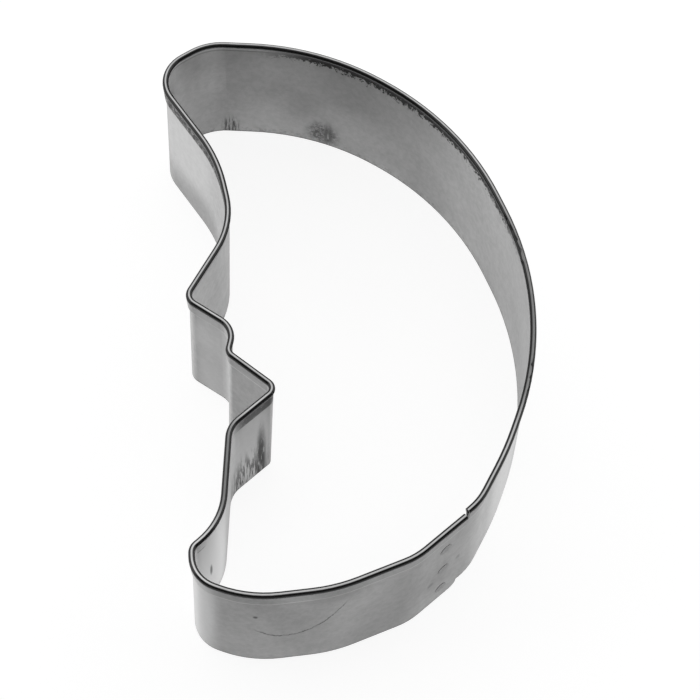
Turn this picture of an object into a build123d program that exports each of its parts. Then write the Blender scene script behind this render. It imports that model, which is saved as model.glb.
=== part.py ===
# Half-moon cookie cutter with a face profile, bent from one strip of tinplate.
# The strip stands on its plain cutting edge at z = 0. Its top edge is folded outwards
# into a hem, and its two ends lap over each other, held by spot welds.
# All sizes are in millimetres. The face looks towards -X and the moon's length lies along Y.
from build123d import *
import math
import os

os.makedirs("parts", exist_ok=True)

# Strip: the wall stands under the hem's bead and leans outwards by the flare at its foot
strip_depth = 25.4
sheet = 0.25
hem_drop = 3.3
bead_radius = 0.5
wall_inset = 0.125
flare = 0.4
hem_gap = 0.03
ramp_drop = 0.9

# Lap seam
seam_straight = 1.0
lap_length = 6.8
lap_gap = 0.2
butt_gap = 0.8
tongue_clearance = 0.4
lap_corner_radius = 1.5

# Spot welds
weld_radius = 1.1
weld_count = 3
weld_crown = 0.06

# Outline of the bead's middle line, seen from above: each bend is a corner and its radius.
# It runs clockwise from the seam, along the chin, up the face, over the horn and down the back.
seam_corner = (19.5, -34.9)
seam_corner_radius = 10.8
bends = [
    ((9.6, -43.4), 11.2),
    ((-2.1, -48.2), 25.6),
    ((-14.7, -49.7), 18.5),
    ((-22.8, -46.6), 5.1),
    ((-23.0, -41.8), 1.8),
    ((-18.6, -37.8), 10.8),
    ((-17.8, -22.3), 4.3),
    ((-10.7, -15.8), 1.4),
    ((-18.2, -9.6), 1.4),
    ((-17.3, -5.3), 3.7),
    ((-24.9, 0.0), 1.9),
    ((-17.7, 13.6), 15.1),
    ((-20.4, 26.4), 27.4),
    ((-31.4, 43.2), 6.1),
    ((-22.5, 49.4), 9.0),
    ((-3.4, 48.5), 42.1),
    ((19.3, 33.2), 46.6),
    ((32.7, -2.0), 52.7),
    ((23.7, -26.1), 53.1),
]

# Directions at the lap, which lies on the straight run after the seam corner
previous_point = Vector(*bends[-1][0])
corner_point = Vector(*seam_corner)
next_point = Vector(*bends[0][0])
along = (next_point - corner_point).normalized()
inward = Vector(along.Y, -along.X, 0)
outward = inward * -1
layer_step = sheet + lap_gap

# The seam stands a short straight run after the end of the seam corner's bend
turn = (corner_point - previous_point).get_angle(along)
seam_from_corner = seam_corner_radius * math.tan(math.radians(turn / 2)) + seam_straight

# The outer layer starts at the seam. The inner layer arrives beside it, one sheet further in.
outer_end = corner_point + along * seam_from_corner
inner_end = outer_end - along * butt_gap + inward * layer_step
inner_corner = corner_point + inward * layer_step

corners = [outer_end] + [Vector(*point) for point, radius in bends] + [inner_corner, inner_end]
radii = [radius for point, radius in bends] + [seam_corner_radius]

with BuildLine() as outline:
    FilletPolyline(*corners, radius=radii)

# The origin is under the middle of the outline's box
middle = outline.wire().bounding_box().center()
path = outline.wire().moved(Location((-middle.X, -middle.Y, 0)))
outer_end = outer_end - middle
inner_end = inner_end - middle

# Heights in the cross-section, where x is outwards from the bead's middle and y is up
half_sheet = sheet / 2
bead_centre = strip_depth - bead_radius
bead_hollow = bead_radius - sheet
wall_top = bead_centre - ramp_drop
leg_edge = strip_depth - hem_drop
tongue_top = leg_edge - tongue_clearance


def wall_middle(height):
    """How far outwards the middle of the leaning wall stands at a height."""
    return flare - (flare + wall_inset) * height / wall_top


def wall_profile(top):
    """The corners of the plain wall's section, from the cutting edge up to a height."""
    return [
        (wall_middle(0) - half_sheet, 0),
        (wall_middle(0) + half_sheet, 0),
        (wall_middle(top) + half_sheet, top),
        (wall_middle(top) - half_sheet, top),
    ]


leg_in = wall_middle(leg_edge) + half_sheet + hem_gap

with BuildSketch(Plane(origin=path @ 0, x_dir=outward, z_dir=path % 0)) as section:
    # Wall
    with BuildLine():
        Polyline(*wall_profile(wall_top), close=True)
    make_face()
    # Ramp, where the wall moves inwards under the bead
    with BuildLine():
        Polyline(
            (wall_middle(wall_top) - half_sheet, wall_top),
            (wall_middle(wall_top) + half_sheet, wall_top),
            (-bead_hollow, bead_centre),
            (-bead_radius, bead_centre),
            close=True,
        )
    make_face()
    # Bead: the rounded top of the fold, with the narrow hollow inside it
    with BuildLine():
        CenterArc((0, bead_centre), bead_radius, 0, 180)
        Polyline(
            (-bead_radius, bead_centre),
            (-bead_hollow, bead_centre),
            (-bead_hollow * 0.6, bead_centre + bead_hollow * 0.8),
            (bead_hollow * 0.6, bead_centre + bead_hollow * 0.8),
            (bead_hollow, bead_centre),
            (bead_radius, bead_centre),
        )
    make_face()
    # Leg of the hem, which closes in on the wall at its free edge
    with BuildLine():
        Polyline(
            (bead_hollow, bead_centre),
            (bead_radius, bead_centre),
            (leg_in + sheet, leg_edge),
            (leg_in, leg_edge),
            close=True,
        )
    make_face()

# Tongue: the section of the inner layer's plain end, which passes inside the outer layer
with BuildSketch(Plane(origin=inner_end, x_dir=outward, z_dir=along)) as tongue_section:
    with BuildLine():
        Polyline(*wall_profile(tongue_top), close=True)
    make_face()

# Spot welds: they stand one above another up the middle of the lap
weld_pitch = tongue_top / weld_count
weld_heights = [weld_pitch * (number + 0.5) for number in range(weld_count)]
weld_length = sheet + layer_step + 2 * weld_crown
lap_middle = outer_end + along * (lap_length / 2)


def weld_plane(height):
    """The plane that a weld's circle lies on, just outside the outer layer."""
    stand_off = wall_middle(height) + half_sheet + weld_crown
    return Plane(
        origin=lap_middle + outward * stand_off + Vector(0, 0, height),
        x_dir=along,
        z_dir=inward,
    )


with BuildPart() as cutter_band:
    sweep(sections=section.sketch, path=path)
    extrude(tongue_section.sketch, amount=lap_length + butt_gap)
    # Rounded lower corner of the outer layer
    toe = outer_end + outward * wall_middle(0)
    toe_edge = cutter_band.edges().sort_by(lambda edge: (edge.center() - toe).length)[0]
    fillet(toe_edge, radius=lap_corner_radius)
    # Holes that the welds fill
    for height in weld_heights:
        with BuildSketch(weld_plane(height)):
            Circle(weld_radius)
        extrude(amount=weld_length, mode=Mode.SUBTRACT)
cutter_band.part.label = "cutter_band"

with BuildPart() as spot_welds:
    for height in weld_heights:
        with BuildSketch(weld_plane(height)):
            Circle(weld_radius)
        extrude(amount=weld_length)
spot_welds.part.label = "spot_welds"

export_step(cutter_band.part, "parts/cutter_band.step")
export_step(spot_welds.part, "parts/spot_welds.step")

box = cutter_band.part.bounding_box()
print(f"band {box.size.X:.2f} x {box.size.Y:.2f} x {box.size.Z:.2f} mm, strip length {path.length:.1f} mm")
print(f"box centre {box.center().X:.3f}, {box.center().Y:.3f}, lowest {box.min.Z:.3f}")
print(f"seam at {outer_end.X:.2f}, {outer_end.Y:.2f}, outline moved by {-middle.X:.3f}, {-middle.Y:.3f}")
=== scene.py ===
# %% [markdown]
# A half-moon cookie cutter with a face in profile, seen from above at a slant.
# The real one is a single strip of tinplate, bent round a former, with its top edge
# folded over so that it doesn't cut the hand. Its exact solids come from the packed
# frame. This script gives them their finish and marks of wear, the light and the camera.

# %% Load the frame
import math

import bmesh
import bpy
from mathutils import Matrix, Vector

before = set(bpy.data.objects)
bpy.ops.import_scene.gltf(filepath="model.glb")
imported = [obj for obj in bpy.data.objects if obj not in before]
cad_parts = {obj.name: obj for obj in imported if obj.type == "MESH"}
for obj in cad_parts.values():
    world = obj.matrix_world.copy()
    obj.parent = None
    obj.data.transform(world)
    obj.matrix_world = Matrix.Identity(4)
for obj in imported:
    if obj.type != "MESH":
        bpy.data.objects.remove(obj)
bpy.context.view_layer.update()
MM = 0.001
SCENE = bpy.context.scene
print("nodes", sorted(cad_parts))

# %% [markdown]
# Colours are written the way a colour picker shows them, as sRGB hex values.
# Blender's shaders work in linear light, so one function turns the first into the second.

# %% Colour
def srgb(hex_value):
    """Turn a colour such as #BDBDBD into linear light."""
    channels = [int(hex_value[start:start + 2], 16) / 255 for start in (1, 3, 5)]
    linear = [c / 12.92 if c <= 0.04045 else ((c + 0.055) / 1.055) ** 2.4 for c in channels]
    return (*linear, 1.0)


print("mid grey in linear light", round(srgb("#808080")[0], 3))

# %% [markdown]
# A material is a small network of nodes. This one function adds a node, sets its options,
# and then fills its inputs, either with plain values or with links from earlier nodes.
# Inputs may be named, or numbered where a node has several of one name. On a Mix node,
# numbers 2 and 3 are the two plain values that it mixes, and 6 and 7 the two colours.

# %% Adding a node
def add(tree, kind, inputs=None, **settings):
    """Add a node to a tree and give it its settings, values and links."""
    node = tree.nodes.new(kind)
    for name, value in settings.items():
        setattr(node, name, value)
    for socket, value in (inputs or {}).items():
        if isinstance(value, bpy.types.NodeSocket):
            tree.links.new(value, node.inputs[socket])
        else:
            node.inputs[socket].default_value = value
    return node


# %% [markdown]
# Tinplate is thin mild steel, rolled cold and dipped in tin. A metal's look is nearly all
# reflection, so the material is fully metallic and its colour only tints what it mirrors.
# Every pattern on it reads the strip's own coordinates, in metres, so it stays in place.

# %% Tinplate: the bare metal
tinplate = bpy.data.materials.new("tinplate")
tinplate.use_nodes = True
tree = tinplate.node_tree
shader = tree.nodes["Principled BSDF"]
shader.inputs["Metallic"].default_value = 1.0
place = add(tree, "ShaderNodeTexCoord").outputs["Object"]
apart = add(tree, "ShaderNodeSeparateXYZ", {"Vector": place})
across = apart.outputs["X"]
lengthwise = apart.outputs["Y"]
height = apart.outputs["Z"]
print("new material", tinplate.name)

# %% [markdown]
# The rolls leave a fine grain along the strip. A metal with a grain mirrors sharply along
# it and smears what it mirrors across it. Here the grain is level, so a wall shows a tall
# blur of the room in the direction that it faces. The tangent is the way of the blur. It
# leans a hair off straight up, so that level faces have a tangent too. The grain itself is
# noise stretched along the strip, drawn coarser than the real one so that it shows.

# %% Tinplate: the rolled grain
GRAIN_PITCH = 0.35 * MM
GRAIN_LENGTH = 14 * MM
LEAN = 0.01
upright = add(tree, "ShaderNodeCombineXYZ", {"X": LEAN, "Y": LEAN, "Z": 1.0})
shader.inputs["Anisotropic"].default_value = 0.9
tree.links.new(upright.outputs["Vector"], shader.inputs["Tangent"])
grain_space = add(tree, "ShaderNodeMapping", {
    "Vector": place,
    "Scale": (1 / GRAIN_LENGTH, 1 / GRAIN_LENGTH, 1 / GRAIN_PITCH),
})
grain = add(tree, "ShaderNodeTexNoise", {
    "Vector": grain_space.outputs["Vector"], "Scale": 1.0, "Detail": 3.0, "Roughness": 0.6,
})
print("rolling grain, lines", GRAIN_PITCH / MM, "mm apart")

# %% [markdown]
# Handling leaves clouds a centimetre or so across, and washing leaves fine mottling.
# Both are noise, at two sizes. The clouds change how sharply the tin mirrors, and the
# mottling its colour. Nearly all of a noise lies between 0.3 and 0.7, so those are the
# two ends that get stretched over the wanted range.

# %% Tinplate: clouds and mottling
CLOUD_SIZE = 11 * MM
MOTTLE_SIZE = 1.1 * MM
NOISE_LOW = 0.3
NOISE_HIGH = 0.7
TIN_SHARPEST = 0.52
TIN_DULLEST = 0.64
TIN_DARK = srgb("#B3B3B3")
TIN_LIGHT = srgb("#BFBFBF")
clouds = add(tree, "ShaderNodeTexNoise", {
    "Vector": place, "Scale": 1 / CLOUD_SIZE, "Detail": 2.0, "Roughness": 0.5,
})
cloud_rough = add(tree, "ShaderNodeMapRange", {
    "Value": clouds.outputs["Fac"], "From Min": NOISE_LOW, "From Max": NOISE_HIGH,
    "To Min": TIN_SHARPEST, "To Max": TIN_DULLEST,
}, interpolation_type="SMOOTHSTEP")
mottle = add(tree, "ShaderNodeTexNoise", {
    "Vector": place, "Scale": 1 / MOTTLE_SIZE, "Detail": 5.0, "Roughness": 0.7,
}).outputs["Fac"]
mottling = add(tree, "ShaderNodeMapRange", {
    "Value": mottle, "From Min": NOISE_LOW, "From Max": NOISE_HIGH,
}, interpolation_type="SMOOTHSTEP")
tin_colour = add(tree, "ShaderNodeMix", {
    "Factor": mottling.outputs["Result"], 6: TIN_DARK, 7: TIN_LIGHT,
}, data_type="RGBA").outputs[2]
print("clouds", CLOUD_SIZE / MM, "mm and mottling", MOTTLE_SIZE / MM, "mm across")

# %% [markdown]
# Dirt, wear and stains are marks, and so are painted light and painted shade. Each one is a
# mask, which is 0 on clean metal and rises to the mark's own strength. A mark has limits.
# Each limit is a value, such as the height, with the amount at which the mark starts to
# show and the amount at which it is full.
# The limits are multiplied, so all of them have to hold. Marks could be painted on a
# picture wrapped round the strip, but masks need no unwrapping and stay sharp close up.

# %% Tinplate: a mark and its limits
def mark(tree, strength, *limits):
    """Make a mask. Each limit is a value, where it starts and where it is full."""
    mask = strength
    for value, start, full in limits:
        fade = add(tree, "ShaderNodeMapRange", {
            "Value": value, "From Min": start, "From Max": full,
        }, interpolation_type="SMOOTHSTEP")
        mask = add(tree, "ShaderNodeMath", {
            0: mask, 1: fade.outputs["Result"],
        }, operation="MULTIPLY").outputs["Value"]
    return mask


def strongest(tree, *marks):
    """Lay marks over each other. Where they overlap, the strongest one shows."""
    laid = marks[0]
    for over in marks[1:]:
        laid = add(tree, "ShaderNodeMath", {
            0: laid, 1: over,
        }, operation="MAXIMUM").outputs["Value"]
    return laid


# %% [markdown]
# The bead is the outside of a tight fold, which the forming rolls burnish. It shines more
# sharply than the flat wall. Its two shoulders are painted nearly black, as a painted
# reflection of the dark part of the room. The crown between them faces straight up, so the
# surface's normal finds it, also where the bend's facets lie a little low. The plain
# cutting edge is dark too, where the shears cut through the tin to the steel.

# %% Tinplate: the bead and the cutting edge
BEAD_FOOT = 24.7 * MM
BEAD_FADE = 0.1 * MM
normal = add(tree, "ShaderNodeNewGeometry").outputs["Normal"]
upward = add(tree, "ShaderNodeSeparateXYZ", {0: normal}).outputs["Z"]
on_bead = (height, BEAD_FOOT - BEAD_FADE, BEAD_FOOT + BEAD_FADE)
below_bead = (height, BEAD_FOOT + BEAD_FADE, BEAD_FOOT - BEAD_FADE)
off_crown = (upward, 0.995, 0.935)
# The shoulders' near black is painted reflection of the dark part of the room, not tarnish.
painted_shoulder_reflection = mark(tree, 0.95, on_bead, off_crown)
cut_edge = mark(tree, 0.7, (height, 0.30 * MM, 0.08 * MM))
print("the bead is above", round(BEAD_FOOT / MM, 1), "mm")

# %% [markdown]
# The strip is thinner than any stain is wide, so a stain would show on both its faces.
# Two limits tell the faces apart. They ask whether the surface's normal points towards a
# place inside the moon, chosen so that the whole inner face can see it. One node tree can
# then dress both faces, and no second material is needed.

# %% Tinplate: the inner face and the outer face
MOON_MIDDLE = (12 * MM, -5 * MM, 12.7 * MM)
to_middle = add(tree, "ShaderNodeVectorMath", {0: MOON_MIDDLE, 1: place}, operation="SUBTRACT")
facing = add(tree, "ShaderNodeVectorMath", {
    0: normal, 1: to_middle.outputs["Vector"],
}, operation="DOT_PRODUCT").outputs["Value"]
inside = (facing, 0.0, 2 * MM)
outside = (facing, 2 * MM, 0.0)
print("inner face as seen from", [round(value / MM, 1) for value in MOON_MIDDLE], "mm")

# %% [markdown]
# Real stains are ragged, so noise breaks them up. Specks are the same size in every
# direction. Drips are the same kind of noise, narrow and stretched upright.

# %% Tinplate: specks and drips
SPECK_SIZE = 0.7 * MM
DRIP_WIDTH = 0.45 * MM
DRIP_LENGTH = 5 * MM
specks = add(tree, "ShaderNodeTexNoise", {
    "Vector": place, "Scale": 1 / SPECK_SIZE, "Detail": 5.0, "Roughness": 0.75,
}).outputs["Fac"]
drip_space = add(tree, "ShaderNodeMapping", {
    "Vector": place, "Scale": (1 / DRIP_WIDTH, 1 / DRIP_WIDTH, 1 / DRIP_LENGTH),
})
drips = add(tree, "ShaderNodeTexNoise", {
    "Vector": drip_space.outputs["Vector"], "Scale": 1.0, "Detail": 4.0, "Roughness": 0.7,
}).outputs["Fac"]
print("specks", SPECK_SIZE / MM, "mm across and drips", DRIP_WIDTH / MM, "mm wide")

# %% [markdown]
# Each stain is a soft blob round one place on the strip: as wide as it is along the strip
# and as tall as it is upright. The distance from its centre, counted in those two sizes,
# is one limit, and noise may be another. The numbers of a stain are its place, its width,
# its height and how strong it is.

# %% Tinplate: a stain
def stain(tree, centre, width, tall, strength=1.0, ragged=None):
    """Make a blob round a centre, with its place and sizes in millimetres."""
    from_centre = add(tree, "ShaderNodeVectorMath", {
        0: place, 1: Vector(centre) * MM,
    }, operation="SUBTRACT")
    in_sizes = add(tree, "ShaderNodeVectorMath", {
        0: from_centre.outputs["Vector"],
        1: (1 / (width * MM), 1 / (width * MM), 1 / (tall * MM)),
    }, operation="MULTIPLY")
    distance = add(tree, "ShaderNodeVectorMath", {
        0: in_sizes.outputs["Vector"],
    }, operation="LENGTH")
    limits = [(distance.outputs["Value"], 1.0, 0.35)]
    if ragged:
        limits.append(ragged)
    return mark(tree, strength, *limits)


# %% [markdown]
# Dough and washing water stay longest at the foot of the wall and in the corner of the
# lips. Inside, there is a smudge with drips on the far wall, a few drips beside it, long
# streaks down the lips, a nick in the chin, and a sprinkle of dirt all along the foot.

# %% Tinplate: stains on the inner face
far_smudge = stain(tree, (-2.6, 46.6, 3.0), 4.0, 4.5, 0.7, (specks, 0.36, 0.6))
far_drips = stain(tree, (-1.6, 46.4, 3.0), 1.4, 5.0, 0.6, (drips, 0.35, 0.55))
horn_drips = stain(tree, (-18.9, 49.6, 1.0), 2.2, 4.5, 0.75, (drips, 0.42, 0.56))
lip_streak = stain(tree, (-13.1, -18.1, 3.0), 1.5, 18.0, 0.85, (drips, 0.32, 0.5))
lip_drips = stain(tree, (-15.0, -20.0, 0.0), 6.0, 14.0, 0.75, (drips, 0.44, 0.58))
inner_nick = stain(tree, (-20.6, -39.3, 10.5), 0.4, 2.6, 0.7)
foot_dirt = mark(tree, 0.45, (height, 2.4 * MM, 0.2 * MM), (specks, 0.5, 0.66))
inner_stains = strongest(
    tree, foot_dirt, far_smudge, far_drips, horn_drips, lip_streak, lip_drips, inner_nick,
)
stained_inside = mark(tree, inner_stains, inside)
print("nodes with the inner stains", len(tree.nodes))

# %% [markdown]
# Outside, the forehead's foot is painted darker, as painted shade near the floor, the chin
# has a nick, and there are two faint round spots near the seam.

# %% Tinplate: stains and painted shade on the outer face
# Painted shade at the forehead's foot, near the floor.
forehead_foot_shade = stain(tree, (-24.5, 32.0, 0.0), 15.0, 10.0, 0.26)
outer_nick = stain(tree, (-13.8, -49.4, 16.6), 0.5, 0.6, 0.6)
seam_spot = stain(tree, (17.1, -37.4, 11.0), 0.9, 0.9, 0.25)
lap_spot = stain(tree, (12.8, -41.1, 8.1), 0.9, 0.9, 0.25)
outer_stains_and_shade = strongest(tree, forehead_foot_shade, outer_nick, seam_spot, lap_spot)
stained_and_shaded_outside = mark(tree, outer_stains_and_shade, outside)
print("nodes with the outer stains", len(tree.nodes))

# %% [markdown]
# Some places at the bends get painted light: the tin is painted lighter there, and it is
# made smoother than the rest.
# These marks are masks too, used further on to lighten the tin. They are tall, so that
# they run up the whole wall. In turn they lie on the chin's corner, the chin's front, the
# lower back, the forehead, the lips and the nose.

# %% Tinplate: places painted lighter
# Painted light: these places are painted lighter, standing for light falling on them.
painted_light_places = strongest(
    tree,
    stain(tree, (-20.5, -39.0, 12.0), 7.0, 30.0),
    stain(tree, (-22.0, -46.0, 12.0), 4.5, 30.0, 0.6),
    stain(tree, (25.0, -24.0, 12.0), 9.0, 30.0, 0.4),
    stain(tree, (-26.0, 34.0, 15.0), 11.0, 16.0, 0.3),
    stain(tree, (-14.5, -19.5, 14.0), 6.0, 20.0, 0.6),
    stain(tree, (-21.0, -3.0, 12.0), 5.0, 30.0, 0.35),
)
print("nodes with the rubbed places", len(tree.nodes))

# %% [markdown]
# Under the bead, on the inside of the moon's back, a dark band is painted: painted shade
# under the fold. The specks move its lower edge up and down, so that it is ragged. It starts
# past the horn and fades out halfway down the back. A smooth band would look painted on.

# %% Tinplate: the band under the bead
BAND_SHALLOW = 24.4 * MM
BAND_DEEP = 21.6 * MM
band_edge = add(tree, "ShaderNodeMapRange", {
    "Value": specks, "From Min": NOISE_LOW, "From Max": NOISE_HIGH,
    "To Min": BAND_SHALLOW, "To Max": BAND_DEEP,
})
above_edge = add(tree, "ShaderNodeMath", {
    0: height, 1: band_edge.outputs["Result"],
}, operation="SUBTRACT").outputs["Value"]
# Painted shade under the fold, on the inner face of the back.
back_painted_shade = mark(
    tree, 0.88, inside, below_bead, (above_edge, -0.1 * MM, 0.25 * MM),
    (across, -16 * MM, -4 * MM), (lengthwise, 4 * MM, 18 * MM),
)
print("band down to", round(BAND_DEEP / MM, 1), "mm")

# %% [markdown]
# The folded leg ends in a free edge, a little below the bead. Along it runs a painted
# highlight, on a dark line of painted shadow in the thin gap under it.
# The edge itself is in the solid, but it is too thin for the light alone to show it.

# %% Tinplate: the edge of the folded leg
LEG_EDGE = 22.1 * MM
EDGE_FADE = 0.02 * MM
# Painted shadow in the thin gap under the leg's free edge.
painted_gap_shadow = mark(
    tree, 0.5, outside, (height, LEG_EDGE - 0.45 * MM, LEG_EDGE - 0.15 * MM),
    (height, LEG_EDGE + EDGE_FADE, LEG_EDGE - EDGE_FADE),
)
# Painted highlight along the leg's free edge.
painted_edge_highlight = mark(
    tree, 0.7, outside, (height, LEG_EDGE - EDGE_FADE, LEG_EDGE + EDGE_FADE),
    (height, LEG_EDGE + 0.4 * MM, LEG_EDGE + 0.2 * MM),
)
print("the leg's free edge is at", round(LEG_EDGE / MM, 1), "mm")

# %% [markdown]
# The leg is painted darker all round, and most of all along the forehead: painted shade
# under the bead. Inside, the corner of the lips is darker up to the bead, and a thin line of
# painted shade shows where the wall starts to bend into the fold.

# %% Tinplate: darkening on the fold
# The leg's darkening is painted shade under the bead.
LEG_SHADE = 0.12
FOLD_START = 23.85 * MM
forehead_leg_shade = stain(tree, (-24.0, 30.0, 23.0), 24.0, 30.0, 0.75, (specks, 0.3, 0.55))
leg_shade_amount = add(tree, "ShaderNodeMath", {
    0: LEG_SHADE, 1: forehead_leg_shade,
}, operation="ADD").outputs["Value"]
painted_leg_shade = mark(
    tree, leg_shade_amount, outside, below_bead, (height, LEG_EDGE, LEG_EDGE + 0.1 * MM),
)
lip_darkening = stain(tree, (-13.6, -18.6, 23.0), 6.0, 30.0, 0.75, (specks, 0.2, 0.5))
lip_corner_dark = mark(tree, lip_darkening, inside, below_bead, (height, 21.6 * MM, 21.9 * MM))
# Painted shade in the crease where the wall bends into the fold.
painted_fold_shade = mark(
    tree, 0.35, inside, (height, FOLD_START - 0.25 * MM, FOLD_START - 0.05 * MM),
    (height, FOLD_START + 0.25 * MM, FOLD_START + 0.05 * MM),
)
print("the fold starts at", round(FOLD_START / MM, 2), "mm")

# %% [markdown]
# Along the middle of the back, and from the lips down to the chin, the bead is painted
# darker: a painted dark reflection. Elsewhere its top stays bright.

# %% Tinplate: painted dark reflection on the bead
# Painted dark reflection on the bead, along the back and from the lips to the chin.
dark_back_reflection = stain(tree, (31.0, -2.0, 25.0), 30.0, 30.0, 0.6)
dark_chin_reflection = stain(tree, (-18.0, -30.0, 25.0), 13.0, 30.0, 0.6)
painted_dark_bead = mark(tree, strongest(tree, dark_back_reflection, dark_chin_reflection), on_bead)
print("nodes with the dulled bead", len(tree.nodes))

# %% [markdown]
# A long hairline scratch curves up the outside of the chin. It is far too shallow to cut
# into the shape, so it is a mark as well: the line where the height equals a shallow bowl.
# The specks make it wander, and the mottling breaks it into deeper and fainter stretches.
# It is drawn wider than a real hairline, so that it shows.

# %% Tinplate: the scratch
BOWL_MIDDLE = -9.2 * MM
BOWL_LOWEST = 9.2 * MM
BOWL_RISE = 0.115 / MM
WANDER = 0.35 * MM
from_middle = add(tree, "ShaderNodeMath", {
    0: across, 1: BOWL_MIDDLE,
}, operation="SUBTRACT").outputs["Value"]
squared = add(tree, "ShaderNodeMath", {0: from_middle, 1: from_middle}, operation="MULTIPLY")
bowl = add(tree, "ShaderNodeMath", {
    0: squared.outputs["Value"], 1: BOWL_RISE, 2: BOWL_LOWEST,
}, operation="MULTIPLY_ADD")
above_bowl = add(tree, "ShaderNodeMath", {
    0: height, 1: bowl.outputs["Value"],
}, operation="SUBTRACT")
wander = add(tree, "ShaderNodeMapRange", {
    "Value": specks, "From Min": NOISE_LOW, "From Max": NOISE_HIGH,
    "To Min": -WANDER, "To Max": WANDER,
})
wandering = add(tree, "ShaderNodeMath", {
    0: above_bowl.outputs["Value"], 1: wander.outputs["Result"],
}, operation="ADD")
off_line = add(tree, "ShaderNodeMath", {
    0: wandering.outputs["Value"],
}, operation="ABSOLUTE").outputs["Value"]
scratch_depth = add(tree, "ShaderNodeMapRange", {
    "Value": mottle, "From Min": 0.35, "From Max": 0.6, "To Min": 0.2, "To Max": 0.65,
}, interpolation_type="SMOOTHSTEP").outputs["Result"]
scratch = mark(
    tree, scratch_depth, outside, (off_line, 0.34 * MM, 0.12 * MM),
    (across, -14.5 * MM, -13 * MM), (across, 0, -1 * MM), (lengthwise, -40 * MM, -42 * MM),
)
print("scratch lowest at", round(BOWL_LOWEST / MM, 1), "mm")

# %% [markdown]
# Now the marks change the tin's colour. The places painted lighter, tiny nicks and the
# painted highlight on the leg's edge pull it towards clean polished tin. Then every dark
# mark, the strongest on top, pulls it towards near black: old dirt and tarnish, and also
# painted shade and painted reflection.

# %% Tinplate: colour
# The polished colour also serves the painted light and the painted highlight, and the near
# black also serves the painted shade and the painted reflection.
POLISHED_AND_HIGHLIGHT = srgb("#E0E0E0")
DIRT_AND_SHADE_BLACK = srgb("#161616")
nicks = mark(tree, 0.5, (specks, 0.66, 0.74))
light_marks = strongest(tree, painted_light_places, painted_edge_highlight, nicks)
dark_marks = strongest(
    tree, painted_shoulder_reflection, cut_edge, back_painted_shade, scratch, painted_gap_shadow, painted_leg_shade, lip_corner_dark,
    painted_fold_shade, painted_dark_bead, stained_inside, stained_and_shaded_outside,
)
lightened_colour = add(tree, "ShaderNodeMix", {
    "Factor": light_marks, 6: tin_colour, 7: POLISHED_AND_HIGHLIGHT,
}, data_type="RGBA")
final_colour = add(tree, "ShaderNodeMix", {
    "Factor": dark_marks, 6: lightened_colour.outputs[2], 7: DIRT_AND_SHADE_BLACK,
}, data_type="RGBA")
tree.links.new(final_colour.outputs[2], shader.inputs["Base Color"])
print("tinplate nodes so far", len(tree.nodes))

# %% [markdown]
# Rolled tinplate is dull enough to blur a reflection, the places painted lighter less so,
# and the burnished bead mirrors the most sharply. The grain is also a bump, a few hundredths
# of a millimetre deep at most, so that it catches the light.

# %% Tinplate: roughness and grain
LIGHTENED_PLACE_ROUGHNESS = 0.42
BEAD_ROUGHNESS = 0.22
GRAIN_DEPTH = 0.02 * MM
lightened_place_rough = add(tree, "ShaderNodeMix", {
    "Factor": painted_light_places, 2: cloud_rough.outputs["Result"], 3: LIGHTENED_PLACE_ROUGHNESS,
}, data_type="FLOAT")
roughness = add(tree, "ShaderNodeMix", {
    "Factor": mark(tree, 1.0, on_bead), 2: lightened_place_rough.outputs[0], 3: BEAD_ROUGHNESS,
}, data_type="FLOAT")
bump = add(tree, "ShaderNodeBump", {
    "Height": grain.outputs["Fac"], "Strength": 0.15, "Distance": GRAIN_DEPTH,
})
tree.links.new(roughness.outputs[0], shader.inputs["Roughness"])
tree.links.new(bump.outputs["Normal"], shader.inputs["Normal"])
print("tinplate nodes", len(tree.nodes))

# %% [markdown]
# A spot weld is squeezed and heated between two copper tips. The tin melts and sets again
# as a small dull disc, a shade darker than the sheet, with a grain of its own that is the
# same in every direction. It is drawn coarser than the real one so that it shows. The
# welds are solids of their own, so they get a material of their own.

# %% Weld spots
WELD_GRAIN = 0.3 * MM
WELD_DARK = srgb("#A2A2A2")
WELD_LIGHT = srgb("#BBBBBB")
WELD_SHARPEST = 0.56
WELD_DULLEST = 0.66
weld = bpy.data.materials.new("pressed_weld")
weld.use_nodes = True
tree = weld.node_tree
weld_shader = tree.nodes["Principled BSDF"]
weld_shader.inputs["Metallic"].default_value = 1.0
weld_shader.inputs["Anisotropic"].default_value = 0.9
weld_up = add(tree, "ShaderNodeCombineXYZ", {"X": LEAN, "Y": LEAN, "Z": 1.0})
weld_grain = add(tree, "ShaderNodeTexNoise", {
    "Vector": add(tree, "ShaderNodeTexCoord").outputs["Object"],
    "Scale": 1 / WELD_GRAIN, "Detail": 4.0, "Roughness": 0.6,
}).outputs["Fac"]
weld_colour = add(tree, "ShaderNodeMix", {
    "Factor": mark(tree, 1.0, (weld_grain, NOISE_LOW, NOISE_HIGH)), 6: WELD_DARK, 7: WELD_LIGHT,
}, data_type="RGBA")
weld_rough = add(tree, "ShaderNodeMapRange", {
    "Value": weld_grain, "From Min": NOISE_LOW, "From Max": NOISE_HIGH,
    "To Min": WELD_SHARPEST, "To Max": WELD_DULLEST,
}, interpolation_type="SMOOTHSTEP")
weld_bump = add(tree, "ShaderNodeBump", {
    "Height": weld_grain, "Strength": 0.2, "Distance": GRAIN_DEPTH,
})
tree.links.new(weld_up.outputs["Vector"], weld_shader.inputs["Tangent"])
tree.links.new(weld_colour.outputs[2], weld_shader.inputs["Base Color"])
tree.links.new(weld_rough.outputs["Result"], weld_shader.inputs["Roughness"])
tree.links.new(weld_bump.outputs["Normal"], weld_shader.inputs["Normal"])
print("weld grain", WELD_GRAIN / MM, "mm")

# %% [markdown]
# The cutter has two parts: the bent strip, and the welds that hold its lap. Their shapes
# are already exact, with every bend and the hem, so each only gets its material.

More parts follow.
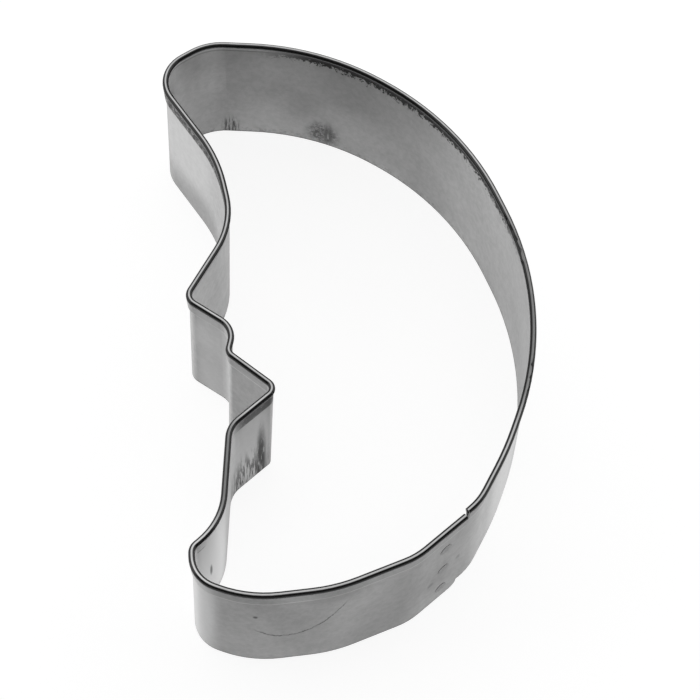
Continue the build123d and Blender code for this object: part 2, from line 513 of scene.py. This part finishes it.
# %% Dress the two parts
for name, material in (("cutter_band", tinplate), ("spot_welds", weld)):
    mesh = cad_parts[name].data
    mesh.materials.clear()
    mesh.materials.append(material)
    print(name, "is", material.name, "on", len(mesh.polygons), "faces")

# %% [markdown]
# The photograph's ground is plain white, with nothing on it. The floor is one big square
# sheet, a hair below the cutting edge, so that the two never lie in one plane.

# %% Floor
FLOOR_HALF = 1.5
FLOOR_DROP = 0.02 * MM
floor_shape = bmesh.new()
bmesh.ops.create_grid(floor_shape, x_segments=1, y_segments=1, size=FLOOR_HALF)
bmesh.ops.translate(floor_shape, vec=(0, 0, -FLOOR_DROP), verts=floor_shape.verts)
floor_mesh = bpy.data.meshes.new("floor")
floor_shape.to_mesh(floor_mesh)
floor_shape.free()
floor = bpy.data.objects.new("floor", floor_mesh)
SCENE.collection.objects.link(floor)
print("floor", 2 * FLOOR_HALF, "m square")

# %% [markdown]
# One question is asked of each ray of light that meets the paper or the sky: has it come
# from the camera, or through a mirror or glass? The three answers are added up.

# %% Rays that see the background
def background_rays(tree):
    """Return a socket that is 1 for rays from the camera, mirrors and glass, and else 0."""
    rays = add(tree, "ShaderNodeLightPath")
    direct = add(tree, "ShaderNodeMath", {
        0: rays.outputs["Is Camera Ray"], 1: rays.outputs["Is Glossy Ray"],
    }, operation="ADD", use_clamp=True)
    seen = add(tree, "ShaderNodeMath", {
        0: direct.outputs["Value"], 1: rays.outputs["Is Transmission Ray"],
    }, operation="ADD", use_clamp=True)
    return seen.outputs["Value"]


# %% [markdown]
# The floor is matt white paper. To the camera, and in mirrors, most of its white is its
# own glow, and the rest is light that falls on it, so a trace of the cutter's shadow
# stays. All other light sees it as plain paper, which lights the walls from below.

# %% Paper
GLOW_STRENGTH = 0.86
SHADOWED_WHITE = 0.25
paper = bpy.data.materials.new("white_paper")
paper.use_nodes = True
tree = paper.node_tree
plain_paper = tree.nodes["Principled BSDF"]
plain_paper.inputs["Base Color"].default_value = srgb("#EDEDED")
plain_paper.inputs["Roughness"].default_value = 0.9
glow = add(tree, "ShaderNodeEmission", {"Color": (1, 1, 1, 1), "Strength": GLOW_STRENGTH})
faint = add(tree, "ShaderNodeBsdfDiffuse", {
    "Color": (SHADOWED_WHITE, SHADOWED_WHITE, SHADOWED_WHITE, 1),
})
bright_paper = add(tree, "ShaderNodeAddShader", {0: glow.outputs[0], 1: faint.outputs[0]})
chosen = add(tree, "ShaderNodeMixShader", {
    0: background_rays(tree), 1: plain_paper.outputs["BSDF"], 2: bright_paper.outputs[0],
})
tree.links.new(chosen.outputs["Shader"], tree.nodes["Material Output"].inputs["Surface"])
floor_mesh.materials.append(paper)
print("paper glows at", GLOW_STRENGTH)

# %% [markdown]
# The room is an even white all round, like the inside of a light tent, which is how small
# bright metal things are photographed. It lights the cutter a little less strongly than
# it shows, so that the walls keep their greys while the ground stays white.

# %% World
ROOM_LIGHT = 0.75
ROOM_SEEN = 1.0
world = bpy.data.worlds.new("studio")
SCENE.world = world
world.use_nodes = True
tree = world.node_tree
background = tree.nodes["Background"]
background.inputs["Color"].default_value = (1, 1, 1, 1)
strength = add(tree, "ShaderNodeMapRange", {
    "Value": background_rays(tree), "To Min": ROOM_LIGHT, "To Max": ROOM_SEEN,
})
tree.links.new(strength.outputs["Result"], background.inputs["Strength"])
print("room light", ROOM_LIGHT)

# %% [markdown]
# Bright metal in an all-white room has no form, because it mirrors white on every side.
# The dark lines along the bead are the dark part of the room, on the camera's side. A
# curved black card does the same here: it stands in front, lower than the camera. One
# point is spun upwards into an arc, and the arc is spun sideways into a bowl-like shell.

# %% Black card
CARD_DISTANCE = 0.9
CARD_LOW = math.radians(6)
CARD_HIGH = math.radians(52)
CARD_SWEEP = math.radians(150)
CARD_ROWS = 8
CARD_COLUMNS = 24
card_shape = bmesh.new()
lowest = card_shape.verts.new((
    0, -CARD_DISTANCE * math.cos(CARD_LOW), CARD_DISTANCE * math.sin(CARD_LOW),
))
bmesh.ops.spin(
    card_shape, geom=[lowest], cent=(0, 0, 0), axis=(-1, 0, 0), dvec=(0, 0, 0),
    angle=CARD_HIGH - CARD_LOW, steps=CARD_ROWS, use_duplicate=False,
)
arc = list(card_shape.edges) + list(card_shape.verts)
bmesh.ops.rotate(
    card_shape, cent=(0, 0, 0), matrix=Matrix.Rotation(-CARD_SWEEP / 2, 3, "Z"),
    verts=card_shape.verts,
)
bmesh.ops.spin(
    card_shape, geom=arc, cent=(0, 0, 0), axis=(0, 0, 1), dvec=(0, 0, 0),
    angle=CARD_SWEEP, steps=CARD_COLUMNS, use_duplicate=False,
)
card_mesh = bpy.data.meshes.new("black_card")
card_shape.to_mesh(card_mesh)
card_shape.free()
card = bpy.data.objects.new("black_card", card_mesh)
SCENE.collection.objects.link(card)
card.visible_camera = False
print("black card", len(card_mesh.polygons), "faces")

# %% [markdown]
# The card is matt black board. It only has to be darker than anything else in the room,
# and so rough that it mirrors nothing itself.

# %% Black board
board = bpy.data.materials.new("black_board")
board.use_nodes = True
board_shader = board.node_tree.nodes["Principled BSDF"]
board_shader.inputs["Base Color"].default_value = srgb("#101010")
board_shader.inputs["Roughness"].default_value = 0.9
card_mesh.materials.append(board)
print("new material", board.name)

# %% [markdown]
# Two big soft lamps stand low on the left and the right. The walls that face sideways
# mirror them and turn bright, and the walls that face the card stay dark, so that every
# bend of the face shows.

# %% Soft side lamps
LAMP_DISTANCE = 0.6
LAMP_UP = math.radians(30)
LAMP_POWER = 0.35
LAMP_SIZE = 0.4


def soft_lamp(name, around):
    """Stand a square lamp at an angle round from +Y, and turn it to the cutter."""
    direction = Vector((
        math.sin(around) * math.cos(LAMP_UP),
        math.cos(around) * math.cos(LAMP_UP),
        math.sin(LAMP_UP),
    ))
    data = bpy.data.lights.new(name, "AREA")
    data.energy = LAMP_POWER
    data.size = LAMP_SIZE
    lamp = bpy.data.objects.new(name, data)
    SCENE.collection.objects.link(lamp)
    turned = direction.to_track_quat("Z", "Y").to_matrix().to_4x4()
    lamp.matrix_world = Matrix.Translation(direction * LAMP_DISTANCE) @ turned
    print(name, LAMP_POWER, "W")


soft_lamp("right_lamp", math.radians(62))
soft_lamp("left_lamp", math.radians(-82))

# %% [markdown]
# The camera is placed by what a photographer would measure: the point it looks at, how
# far off it stands, how high, and how it is turned and rolled. The numbers come from
# fitting the cutter's outline to the photograph. The view transform is Standard, which
# shows white paper as plain white.

# %% Camera
CAMERA_TARGET = Vector((1.06, -2.42, 12.7)) * MM
CAMERA_DISTANCE = 305.1 * MM
CAMERA_ELEVATION = math.radians(61.02)
CAMERA_HEADING = math.radians(-4.39)
CAMERA_ROLL = math.radians(3.84)
LENS = 97.7

forward = Vector((
    math.cos(CAMERA_ELEVATION) * -math.sin(CAMERA_HEADING),
    math.cos(CAMERA_ELEVATION) * math.cos(CAMERA_HEADING),
    -math.sin(CAMERA_ELEVATION),
))
camera_data = bpy.data.cameras.new("camera")
camera_data.lens = LENS
camera = bpy.data.objects.new("camera", camera_data)
SCENE.collection.objects.link(camera)
level = forward.to_track_quat("-Z", "Y").to_matrix().to_4x4()
camera.matrix_world = (
    Matrix.Translation(CAMERA_TARGET - forward * CAMERA_DISTANCE)
    @ level
    @ Matrix.Rotation(CAMERA_ROLL, 4, "Z")
)
SCENE.camera = camera
SCENE.view_settings.view_transform = "Standard"
print("camera at", [round(value / MM, 1) for value in camera.matrix_world.translation], "mm")
